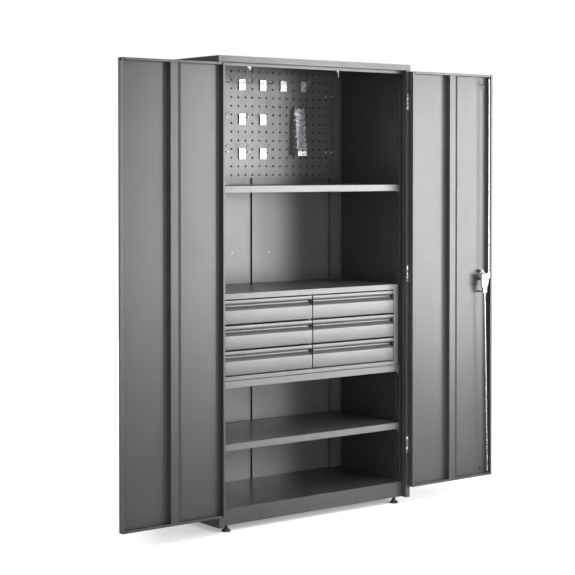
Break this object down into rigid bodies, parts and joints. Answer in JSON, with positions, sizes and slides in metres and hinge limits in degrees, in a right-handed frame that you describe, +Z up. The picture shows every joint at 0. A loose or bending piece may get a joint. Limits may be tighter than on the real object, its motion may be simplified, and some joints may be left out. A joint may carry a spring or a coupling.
{
  "type": "workshop tool cabinet",
  "caption": "Tall two-door sheet-steel tool cabinet with perforated tool panel, adjustable shelves, a bank of drawers and a rod lock worked by a lever handle.",
  "frame": {"origin": "on the floor, under the middle of the object with its doors open", "axes": "+X to the right as seen from the front, +Y from the front to the back, +Z up"},
  "size_m": [1.9715, 0.5426, 1.925],
  "materials": {
    "carcass_paint": "graphite semi-gloss powder coat",
    "shelf_paint": "graphite semi-gloss powder coat",
    "zinc": "bright zinc plate",
    "steel": "plain steel",
    "black_plastic": "black moulded plastic"
  },
  "bodies": {
    "cabinet": {"side_left": "carcass_paint", "side_right": "carcass_paint", "top_cap": "carcass_paint", "header_rail": "carcass_paint", "plinth": "carcass_paint", "floor_pan": "carcass_paint", "foot_brackets": "carcass_paint", "back_panel_left": "carcass_paint", "back_panel_right": "carcass_paint", "back_spine": "carcass_paint", "front_uprights": "carcass_paint", "rear_uprights": "carcass_paint", "tool_panel": "carcass_paint", "panel_screws": "zinc", "tool_hooks": "zinc", "spanner_rack": "zinc", "upper_shelf": "shelf_paint", "middle_shelf": "shelf_paint", "lower_shelf": "shelf_paint", "shelf_clips": "zinc", "drawer_case": "shelf_paint", "drawer_divider": "shelf_paint", "slide_channels": "zinc", "hinge_frame_halves": "zinc", "hinge_pins": "steel"},
    "door_left": {"door_left": "carcass_paint", "stiffener_left": "carcass_paint", "hinge_halves_left": "zinc", "closing_strip": "carcass_paint"},
    "door_right": {"door_right": "carcass_paint", "stiffener_right": "carcass_paint", "hinge_halves_right": "zinc", "lock_plate": "black_plastic", "lock_case": "zinc", "lock_cover": "zinc", "rod_guides": "zinc"},
    "handle": {"door_handle": "black_plastic", "lock_pinion": "steel"},
    "key_cylinder": {"key_cylinder": "steel"},
    "upper_rod": {"upper_rod": "zinc"},
    "lower_rod": {"lower_rod": "zinc"},
    "drawer_1": {"drawer_front_1": "shelf_paint", "drawer_box_1": "shelf_paint"},
    "drawer_2": {"drawer_front_2": "shelf_paint", "drawer_box_2": "shelf_paint"},
    "drawer_3": {"drawer_front_3": "shelf_paint", "drawer_box_3": "shelf_paint"},
    "drawer_4": {"drawer_front_4": "shelf_paint", "drawer_box_4": "shelf_paint"},
    "drawer_5": {"drawer_front_5": "shelf_paint", "drawer_box_5": "shelf_paint"},
    "drawer_6": {"drawer_front_6": "shelf_paint", "drawer_box_6": "shelf_paint"},
    "foot_front_left": {"foot_front_left": "black_plastic"},
    "foot_front_right": {"foot_front_right": "black_plastic"},
    "foot_rear_left": {"foot_rear_left": "black_plastic"},
    "foot_rear_right": {"foot_rear_right": "black_plastic"}
  },
  "joints": [
    {"name": "left_door_hinge", "type": "hinge", "parent": "cabinet", "child": "door_left", "pos_m": [-0.492, -0.23015, 1.011], "axis": [0, 0, -1], "range_deg": [-180, 0]},
    {"name": "right_door_hinge", "type": "hinge", "parent": "cabinet", "child": "door_right", "pos_m": [0.492, -0.23015, 1.011], "axis": [0, 0, 1], "range_deg": [-180, 0]},
    {"name": "handle_turn", "type": "hinge", "parent": "door_right", "child": "handle", "pos_m": [0.926, -0.26635, 0.97], "axis": [0, -1, 0], "range_deg": [0, 90]},
    {"name": "key_turn", "type": "hinge", "parent": "door_right", "child": "key_cylinder", "pos_m": [0.922, -0.23865, 1.006], "axis": [0, 1, 0], "range_deg": [0, 90]},
    {"name": "upper_rod_slide", "type": "slide", "parent": "door_right", "child": "upper_rod", "axis": [0, 0, 1], "range_m": [0, 0.0158]},
    {"name": "lower_rod_slide", "type": "slide", "parent": "door_right", "child": "lower_rod", "axis": [0, 0, -1], "range_m": [0, 0.0158]},
    {"name": "drawer_1_slide", "type": "slide", "parent": "cabinet", "child": "drawer_1", "axis": [0, -1, 0], "range_m": [0, 0.33]},
    {"name": "drawer_2_slide", "type": "slide", "parent": "cabinet", "child": "drawer_2", "axis": [0, -1, 0], "range_m": [0, 0.33]},
    {"name": "drawer_3_slide", "type": "slide", "parent": "cabinet", "child": "drawer_3", "axis": [0, -1, 0], "range_m": [0, 0.33]},
    {"name": "drawer_4_slide", "type": "slide", "parent": "cabinet", "child": "drawer_4", "axis": [0, -1, 0], "range_m": [0, 0.33]},
    {"name": "drawer_5_slide", "type": "slide", "parent": "cabinet", "child": "drawer_5", "axis": [0, -1, 0], "range_m": [0, 0.33]},
    {"name": "drawer_6_slide", "type": "slide", "parent": "cabinet", "child": "drawer_6", "axis": [0, -1, 0], "range_m": [0, 0.33]},
    {"name": "foot_front_left_turn", "type": "hinge", "parent": "cabinet", "child": "foot_front_left", "pos_m": [-0.45, -0.19065, 0.02], "axis": [0, 0, 1], "continuous": true},
    {"name": "foot_front_right_turn", "type": "hinge", "parent": "cabinet", "child": "foot_front_right", "pos_m": [0.45, -0.19065, 0.02], "axis": [0, 0, 1], "continuous": true},
    {"name": "foot_rear_left_turn", "type": "hinge", "parent": "cabinet", "child": "foot_rear_left", "pos_m": [-0.45, 0.23335, 0.02], "axis": [0, 0, 1], "continuous": true},
    {"name": "foot_rear_right_turn", "type": "hinge", "parent": "cabinet", "child": "foot_rear_right", "pos_m": [0.45, 0.23335, 0.02], "axis": [0, 0, 1], "continuous": true}
  ],
  "couplings": [
    {"joint": "upper_rod_slide", "follows": "handle_turn", "m_per_rad": 0.01},
    {"joint": "lower_rod_slide", "follows": "handle_turn", "m_per_rad": 0.01}
  ]
}
